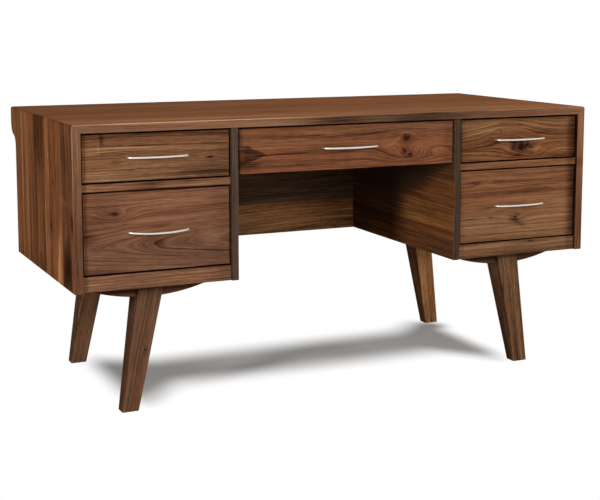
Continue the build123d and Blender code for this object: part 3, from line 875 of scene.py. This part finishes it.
# Figure of each drawer front, from its middle
FRONT_FIGURE = {
    "left_top": dict(
        colour=(105, 72, 50), seed=11, pith=(-320, -100), ring=4.2, lean=0.004, contrast=1.18, short=0.3,
        knots=((142, -8.7, 3.2, 12, 0, 0.14),),
        marks=((-103, -11, 14, 4, 0.45), (142, -8.7, 15, 3, 0.6), (-45, 28, 90, 1.6, 0.4, -0.01)),
        bands=((0, 47, 500, 14, 0.1), (-75, 24, 120, 2.4, -0.26, -0.01), (-170, 12.5, 30, 3, -0.18, 0.05),
               (20, 12, 160, 11, -0.1), (-10, -24.6, 90, 2, -0.16), (125, -47, 75, 12, 0.24),
               (-160, -37, 45, 4, -0.14, 0.03), (-144, 46, 6, 18, 0.26), (-151, 30, 2.5, 20, -0.14),
               (0, 53, 120, 10, -0.14), (-140, -42, 60, 18, -0.14), (140, 30, 70, 9, 0.1),
               (180, -50, 40, 12, 0.1)),
    ),
    "left_bottom": dict(
        colour=(103, 69, 51), seed=23, pith=(-30, -60), ring=3.6, lean=0.062, contrast=0.88,
        knots=((-111.5, 47.7, 5.8, 12, 16, 0.05),),
        marks=((120, -60, 80, 2.2, 0.24, -0.11),),
        bands=((-128, 50, 35, 16, 0.17), (-111.5, 47.7, 5.8, 5.2, 0.26), (-111.2, 48, 2, 2, -0.16),
               (-65, 45, 30, 12, -0.08), (-30, 12, 160, 6, 0.12), (3, 10, 30, 5, 0.12),
               (-183, -11, 18, 20, 0.24), (-5, -29, 22, 10, 0.15), (110, -20, 90, 20, -0.07),
               (40, 75, 220, 32, -0.13), (-10, -34, 100, 22, 0.12)),
    ),
    "centre": dict(
        colour=(108, 68, 46), seed=37, pith=(-160, -50), ring=5, lean=0.012,
        knots=((173.2, 15.7, 11.5, 34, 0, 0.29), (167.5, -18.6, 8.5, 22, 20, 0.29),
               (187.5, -28, 7.5, 10, 6, 0.29)),
        marks=((-190, -11, 75, 2.2, 0.6, 0.02), (-287.6, -36.7, 35, 10, 0.25), (-80, 34.5, 220, 1.8, 0.36),
               (-25, -13.5, 45, 3.5, 0.28, 0.06)),
        # The narrow dark band at the left end is a painted shadow of the kneehole wall's edge
        bands=((-320.5, 0, 3, 200, 0.45), (174, 32.5, 18, 2.5, -0.24), (110, -3, 32, 6, -0.16, 0.1),
               (-60, -19.5, 110, 2, -0.14, 0.12), (147, 15.8, 16, 4.5, -0.18, 0.74),
               (198, 25, 18, 3.5, -0.18, -0.37), (147, -21.8, 14, 4.5, -0.14, -0.9),
               (-190, 2, 130, 14, -0.15), (190, -34, 170, 12, 0.12)),
        bends=((268, -15.5, 45, 14, 20),),
        fans=((-241.5, -10, 85, 0.42, 0.5),),
    ),
    "right_top": dict(
        colour=(101, 65, 42), seed=41, pith=(-160, -40), ring=4.6, contrast=1.25,
        knots=((8, -24.6, 12, 22, 10, 0.36), (-60, 23.1, 2.6, 16, 8, 0.3)),
        marks=((30, -21, 35, 6, 0.35, 0.05), (40, -36, 12, 12, 0.4), (-6, -49, 20, 6, 0.35),
               (-40, -10, 50, 6, 0.3), (80, 14, 80, 4, 0.2, -0.02)),
        # The narrow dark bands at the ends are painted shadows: of the kneehole wall's edge at the left, of
        # the side panel's edge at the right
        bands=((-193, 0, 3, 200, 0.45), (190, 0, 13, 200, 0.26), (10, -26, 35, 14, 0.2),
               (-130, 36, 70, 4, -0.18, 0.21), (-130, 22, 70, 3, -0.14, 0.2),
               (20, 47, 100, 4, -0.12, -0.05), (-110, 33, 70, 22, -0.11, 0.15), (100, -30, 60, 16, -0.09),
               (70, -30, 20, 6, -0.18, 0.3), (-20, 29, 200, 16, -0.12), (30, 33, 70, 10, -0.12),
               (120, -53, 60, 10, 0.24)),
        bends=((-45, 20, 100, 55, 26), (55, -40, 30, 20, -12), (140, -30, 70, 30, 12)),
    ),
    "right_bottom": dict(
        colour=(113, 76, 52), seed=59, pith=(-260, -60), ring=5, lean=0.01, contrast=0.84,
        knots=((-8, -36, 5.5, 10, 8, 0.3),),
        marks=((-153, -35, 22, 1.8, 0.5, -0.01), (-100, -6.8, 25, 3, 0.25, 0.08), (-90, -34, 8, 3, 0.35),
               (0, -82, 200, 2, 0.3), (2, -52, 28, 8, 0.42, -0.45), (4, -28.7, 12, 2.5, 0.4, -0.1),
               (-146, 68, 20, 4, 0.3), (-66, 68, 25, 3.5, 0.3)),
        # The narrow dark bands at the ends are painted shadows: of the kneehole wall's edge at the left, of
        # the side panel's edge at the right
        bands=((-193, 0, 3, 200, 0.35), (191, 0, 13, 200, 0.32), (110, 78, 70, 4, -0.14, 0.06),
               (-30, 36, 220, 10, 0.15), (-20, 19, 200, 3, -0.12), (80, 68, 150, 24, 0.14),
               (-30, -55, 300, 50, -0.13)),
        bends=((-115, 68, 50, 10, 10),),
    ),
}

# Figure of the rails in the front, from their middles
RAIL_WOOD = dict(pith=(-200, -70), lean=0.01)
RAIL_FIGURE = {
    "left_divider_rail": dict(colour=(113, 80, 59), bands=((-22, 0, 30, 100, 0.16),)),
    "left_bottom_rail": dict(colour=(109, 77, 57), bands=((190, 0, 50, 100, 0.08),)),
    "right_divider_rail": dict(colour=(111, 73, 50)),
    "right_bottom_rail": dict(
        colour=(109, 74, 51), bands=((0, 0, 60, 100, 0.09),),
        marks=((46, 16, 7, 3, 0.55), (30, 15, 20, 3, 0.25)),
    ),
}

# Kneehole walls, along in depth and across in height, with their staves from the lower edge
KNEE_WOOD = dict(
    colour=(108, 67, 38), pith=(-300, -150), lean=0.01, contrast=1.1, shades=KNEE_SHADOW_SHADES,
    # The top stave is darker partly as painted shade under the drawers
    staves=((0, -0.12), (80, 0.06), (152, -0.06), (225, -0.22)),
    # Painted shade: the large dark band over the rear and top, the band just under the drawers, the slanted
    # band at the dark region's front edge and the faint band low at the front; the lighter band low at the
    # rear is painted light; the two small dark bands high at the front are figure
    bands=((100, 530, 220, 140, 0.46, -0.45), (-130, 585, 100, 35, 0.24), (120, 350, 160, 35, -0.2),
           (-200, 350, 250, 30, 0.07), (-80, 525, 70, 22, 0.32), (-140, 553, 50, 15, 0.2),
           (5, 460, 45, 60, 0.24, -0.2)),
)
LIPPING_WOOD = dict(pith=(-300, -200), contrast=0.6)
LIPPING_COLOUR = {"left": (78, 61, 51), "right": (66, 50, 40)}

# Boards at the back of the kneehole, from their middles
MODESTY_WOOD = dict(pith=(-180, -100), lean=0.02)
MODESTY_FIGURE = {
    "modesty_panel": dict(
        colour=(86, 62, 48), seed=121,
        # Its bands are painted light and shade: lighter low in the middle, darker low at the right
        bands=((280, -110, 170, 80, 0.22), (-50, -75, 200, 40, -0.16)),
    ),
    "modesty_rail": dict(
        # Its colour, lighter than the other boards', is partly its own and partly painted light; its bands
        # darken the right end and the bottom as painted shade
        colour=(136, 93, 60), seed=127,
        bands=((330, 0, 140, 200, 0.16), (100, -55, 800, 40, 0.16)),
    ),
}

# Legs: lean of the grain, as splay over height, and figure from their middles
LEG_LEAN = 60 / 337.5
LEG_WOOD = dict(pith=(-160, -120), ring=4)
LEG_FIGURE = {
    "left_front_leg": dict(
        colour=(97, 66, 48), contrast=0.75, knots=((-7.5, 8.7, 3, 10, 4, 0.36),),
        bands=((-35, 4, 50, 6, 0.14), (30, 6, 35, 5, 0.12), (0, 21, 140, 5, -0.14, 0.03)),
    ),
    "left_rear_leg": dict(colour=(102, 72, 52)),
    # Its lighter band at the top is painted light over the desk's shadow
    "right_front_leg": dict(colour=(94, 66, 47), contrast=1.2, bands=((130, 0, 70, 200, -0.15),)),
    # Its colour, lighter than the other legs', is painted light; the wide low band makes it darker towards the
    # foot
    "right_rear_leg": dict(
        colour=(135, 90, 57), contrast=1.2, bands=((90, 20, 50, 4, 0.35), (-130, 0, 90, 200, 0.13)),
    ),
}

# Boards that show little
BACK_WOOD = dict(colour=(104, 70, 47), pith=(30, -120), lean=0.05)
FLOOR_WOOD = dict(colour=(104, 70, 47), pith=(50, -120), lean=0.04)
ARCH_WOOD = dict(colour=(88, 60, 43), pith=(-150, 100))
MAPLE_WOOD = dict(colour=(216, 190, 154), pith=(-200, -300), ring=6, shades=PALE_SHADES, rough=0.45)
BIRCH_WOOD = dict(colour=(219, 195, 158), pith=(0, -50), lean=0.02, shades=PALE_SHADES, rough=0.5)

# Seeds of boards that come in sets: the first one, and the steps from set to set and within a set
SEEDS = {
    "side_edge": (7, 1, 0), "knee": (71, 9, 0), "lipping": (77, 9, 0), "rail": (83, 7, 3),
    "back": (101, 5, 0), "floor": (113, 5, 0), "leg": (131, 11, 5), "arch": (151, 7, 0),
    "maple": (171, 3, 0), "birch": (191, 3, 0),
}

# Metals as linear colour, roughness and stretch of the brushing, and the screen colour of the glides
ZINC = ((0.6, 0.61, 0.63, 1), 0.38, (400, 12, 400))
NICKEL = ((0.8, 0.745, 0.665, 1), 0.42, (60, 900, 900))
NYLON_COLOUR = (70, 60, 54)


def seed_of(kind, number, offset=0):
    """Seed of one board of a set."""
    first, step, inner_step = SEEDS[kind]
    return first + step * number + inner_step * offset


def plain_wood(node, order, kind="walnut", **figure):
    """Material of a board whose figure is placed from its middle."""
    return wood(f"{kind}_{node}", board_axes(node, order), **figure)


def case_materials():
    """Walnut of the top and sides: the same staves run over both mitred corners."""
    end = HALF_WIDTH + TOP_FACE
    sideways = ("x", 1, 0.0)
    depthways = ("y", 1, CASE_FRONT)
    upright = ("z", 1, TOP_FACE)
    left_axes = (("z", 1, end), depthways, ("x", -1, -HALF_WIDTH))
    right_axes = (("z", -1, end), depthways, ("x", 1, HALF_WIDTH))
    return {
        "desk_top": wood("walnut_top", (sideways, depthways, upright), **TOP_FIGURE, **CASE_WOOD),
        "left_side_panel": wood("walnut_left_side", left_axes, **LEFT_FIGURE, **CASE_WOOD),
        "right_side_panel": wood("walnut_right_side", right_axes, **RIGHT_FIGURE, **CASE_WOOD),
        "top_edge": wood("walnut_top_edge", (sideways, upright, depthways), **TOP_EDGE),
    }


def build_side(number, side, material):
    """Outer side of a pedestal, mitred to the top."""
    inward = SIDES[side]
    panel = f"{side}_side_panel"
    against = ["desk_top"] + [f"{side}_{board}" for board in HOUSED_BOARDS]
    edge = wood(f"walnut_{side}_side_edge", board_axes(panel, "zxy"), seed=seed_of("side_edge", number),
                **SIDE_EDGE[side])
    eased_copy(panel, CASE_EASE, material, against, CASE_ARRIS_HIGHLIGHT, (inward, 0, 0), lipping=edge,
               corners=((-inward, SIDE_CUTS),))


def build_knee_wall(number, side):
    """Kneehole wall of a pedestal, with its lipping in front."""
    knee = f"{side}_kneehole_panel"
    low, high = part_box(knee)
    axes = (("y", 1, 0.0), ("z", 1, 0.0), ("x", 1, (low.x + high.x) / 2))
    material = wood(f"walnut_{knee}", axes, seed=seed_of("knee", number), span=(low.z, high.z), **KNEE_WOOD)
    lipping = wood(f"walnut_{side}_lipping", board_axes(knee, "zxy"), LIPPING_COLOUR[side],
                   seed_of("lipping", number), **LIPPING_WOOD)
    against = ["desk_top", "modesty_panel", "modesty_rail"] + [f"{side}_{board}" for board in HOUSED_BOARDS]
    eased_copy(knee, PANEL_EASE, material, against, KNEE_ARRIS_HIGHLIGHT, (-SIDES[side], 0, 0), lipping=lipping)


def build_housed(number, side):
    """Rails, back and floor between the walls of a pedestal."""
    for offset, board in enumerate(("divider_rail", "bottom_rail")):
        node = f"{side}_{board}"
        seed = seed_of("rail", number, offset)
        material = plain_wood(node, "xzy", seed=seed, **RAIL_WOOD, **RAIL_FIGURE[node])
        eased_block(node, RAIL_EASE, material, "desk", RAIL_ARRIS_SHADE, "z", RAIL_GAP_SHADE)
    node = f"{side}_pedestal_back"
    material = plain_wood(node, "xzy", seed=seed_of("back", number), **BACK_WOOD)
    eased_block(node, RAIL_EASE, material, "desk")
    node = f"{side}_pedestal_floor"
    paint(node, plain_wood(node, "xyz", seed=seed_of("floor", number), **FLOOR_WOOD))


def build_case():
    """Waterfall case, pedestals and the boards at the back of the kneehole."""
    case = case_materials()
    eased_copy("desk_top", CASE_EASE, case["desk_top"], ["left_side_panel", "right_side_panel"], CASE_ARRIS_HIGHLIGHT,
               (0, 0, -1), lipping=case["top_edge"], corners=((-1, TOP_CUTS), (1, TOP_CUTS)))
    for number, side in enumerate(SIDES):
        build_side(number, side, case[f"{side}_side_panel"])
        build_knee_wall(number, side)
        build_housed(number, side)
    for node, figure in MODESTY_FIGURE.items():
        material = plain_wood(node, "xzy", **MODESTY_WOOD, **figure)
        eased_block(node, RAIL_EASE, material, "desk")


def build_base():
    """Legs, drawn down until little of their glides shows, arched rails and glides."""
    for number, (side, inward) in enumerate(SIDES.items()):
        for offset, end in enumerate(("front", "rear")):
            node = f"{side}_{end}_leg"
            material = plain_wood(node, "zxy", seed=seed_of("leg", number, offset),
                                  leg_lean=(-inward * LEG_LEAN, 0.0), **LEG_WOOD, **LEG_FIGURE[node])
            against = [f"{side}_pedestal_floor", f"{side}_arched_rails"]
            leg = eased_copy(node, LEG_EASE, material, against, LEG_ARRIS_HIGHLIGHT, (-1, 0, 0), LEG_SHADE)
            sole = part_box(node)[0].z
            for vert in leg.data.vertices:
                if vert.co.z < sole + LEG_EASE + WELD:
                    vert.co.z -= sole - GLIDE_SHOWN
        node = f"{side}_arched_rails"
        material = plain_wood(node, "xzy", seed=seed_of("arch", number), **ARCH_WOOD)
        eased_copy(node, PANEL_EASE, material, [f"{side}_pedestal_floor"])
    paint("leg_glides", moulded("brown_nylon", srgb(*NYLON_COLOUR)))


def build_drawers(nickel):
    """Fronts, pulls and boxes of the five drawers."""
    for number, drawer in enumerate(DRAWERS):
        front = f"{drawer}_drawer_front"
        material = plain_wood(front, "xzy", **FRONT_FIGURE[drawer])
        eased_block(front, FRONT_EASE, material, f"{drawer}_drawer", FRONT_ARRIS_SHADE, "xz", FRONT_GAP_SHADE)
        bow_pull(drawer, nickel)
        for board, order in (("sides", "yzx"), ("ends", "xzy")):
            node = f"{drawer}_drawer_{board}"
            paint(node, plain_wood(node, order, "maple", seed=seed_of("maple", number), **MAPLE_WOOD))
        node = f"{drawer}_drawer_bottom"
        paint(node, plain_wood(node, "xyz", "birch", seed=seed_of("birch", number), **BIRCH_WOOD))


def finish_steel(zinc):
    """Zinc on the runners and on the screws of the base."""
    nodes = ["base_screws", "cabinet_runners"]
    for drawer in DRAWERS:
        nodes += [f"{drawer}_drawer_runners", f"{drawer}_middle_runners"]
    for node in nodes:
        paint(node, zinc)


def softbox(name, place, aim, size, watts, mirrored):
    """Large soft lamp aimed at a point, which metal mirrors or not."""
    lamp = bpy.data.lights.new(name, "AREA")
    lamp.shape = "RECTANGLE"
    lamp.size, lamp.size_y = size
    lamp.energy = watts
    made = new_object(name, lamp)
    made.location = place
    made.visible_glossy = mirrored
    made.rotation_euler = (Vector(aim) - Vector(place)).to_track_quat("-Z", "Y").to_euler()


def seen_directly(w):
    """1 for rays that show the stage itself: to the camera, mirrored or through glass."""
    path = w.node("LightPath").outputs
    return w.larger(w.larger(path["Is Camera Ray"], path["Is Glossy Ray"]), path["Is Transmission Ray"])


def bar_distance(w, x, y):
    """Distance from the bar of shadow under the desk, which grows and comes forward at its ends."""
    aside = w.absolute(w.less(x, SHADOW_CENTRE))
    flare = w.smooth(aside, *FLARE_SPAN)
    behind = w.less(w.total(y, (flare, FLARE_FORWARD)), SHADOW_MIDDLE)
    beyond = w.less(w.absolute(behind), w.total(SHADOW_DEPTH, (flare, SHADOW_FLARE)))
    beside = w.times(w.less(aside, SHADOW_WIDTH), END_FADE)
    return w.length(w.join(w.larger(beside, 0.0), w.larger(beyond, 0.0)))


def streak_distance(w, x, y):
    """Distance from the streak of shadow towards the right rear foot."""
    streak = STREAK_END - STREAK_START
    ahead = streak.normalized()
    middle = (STREAK_START + STREAK_END) / 2
    east = w.less(x, middle.x)
    north = w.less(y, middle.y)
    run = w.total(0.0, (east, ahead.x), (north, ahead.y))
    off = w.total(0.0, (east, ahead.y), (north, -ahead.x))
    past = w.larger(w.less(w.absolute(run), streak.length / 2), 0.0)
    return w.times(w.less(w.length(w.join(past, off)), STREAK_RADIUS), STREAK_FADE)


def floor_material():
    """Floor darkened in and near the shadow by painted shade over its real shading, and white farther out."""
    material, w = new_material("studio_floor")[:2]
    w.tree.nodes.clear()
    x, y = w.split(w.node("NewGeometry").outputs["Position"])[:2]
    shown = seen_directly(w)
    distance = w.math("SMOOTH_MIN", bar_distance(w, x, y), streak_distance(w, x, y), STREAK_BLEND)
    fade = w.times(w.smooth(distance, 0.0, FLOOR_FADE), shown)
    # Painted shade: the floor's colour in the shadow, darker and warmer than the floor
    painted_shadow_colour = w.ramp(w.less(x, FLOOR_TONES_START), toned(PAINTED_SHADOW_CAST, PAINTED_FLOOR_SHADE))
    diffuse = w.node("BsdfDiffuse", {"Color": w.mix(shown, DARK_FLOOR, painted_shadow_colour)}).outputs[0]
    white = w.node("Emission", {"Color": WHITE, "Strength": 1.0}).outputs[0]
    lift = w.node("Emission", {"Strength": w.times(shown, FLOOR_LIFT)}).outputs[0]
    near = w.node("AddShader", {0: diffuse, 1: lift}).outputs[0]
    surface = w.node("MixShader", {0: fade, 1: near, 2: white}).outputs[0]
    w.node("OutputMaterial", {"Surface": surface})
    return material


def make_floor():
    """Floor that keeps the desk's shadow and fades into the white background."""
    bm = bmesh.new()
    bmesh.ops.create_grid(bm, x_segments=FLOOR_SQUARES, y_segments=FLOOR_SQUARES, size=FLOOR_HALF)
    floor = new_object("studio_floor", new_mesh("studio_floor", bm, [floor_material()]))


def make_world():
    """White background with a lower, even light on the desk."""
    world = bpy.data.worlds.new("studio")
    bpy.context.scene.world = world
    world.use_nodes = True
    w = Wires(world.node_tree)
    background = world.node_tree.nodes["Background"]
    w.put(background.inputs["Color"], WHITE)
    w.put(background.inputs["Strength"], w.total(AMBIENT, (seen_directly(w), 1.0 - AMBIENT)))


def place_camera():
    """Camera of the photograph's view."""
    camera = bpy.data.cameras.new("photo_camera")
    camera.sensor_width = CAMERA_SENSOR
    camera.lens = CAMERA_LENS
    camera.shift_y = CAMERA_SHIFT
    holder = new_object("photo_camera", camera)
    holder.location = CAMERA_PLACE
    holder.rotation_euler = (math.radians(90.0 - CAMERA_DIP), 0.0, -math.radians(CAMERA_TURN))
    bpy.context.scene.camera = holder


build_case()
build_base()
build_drawers(metal("satin_nickel", *NICKEL))
finish_steel(metal("zinc_steel", *ZINC))
make_floor()
make_world()
for name, values in LAMPS.items():
    softbox(name, *values)
place_camera()
bpy.context.scene.view_settings.view_transform = "Standard"
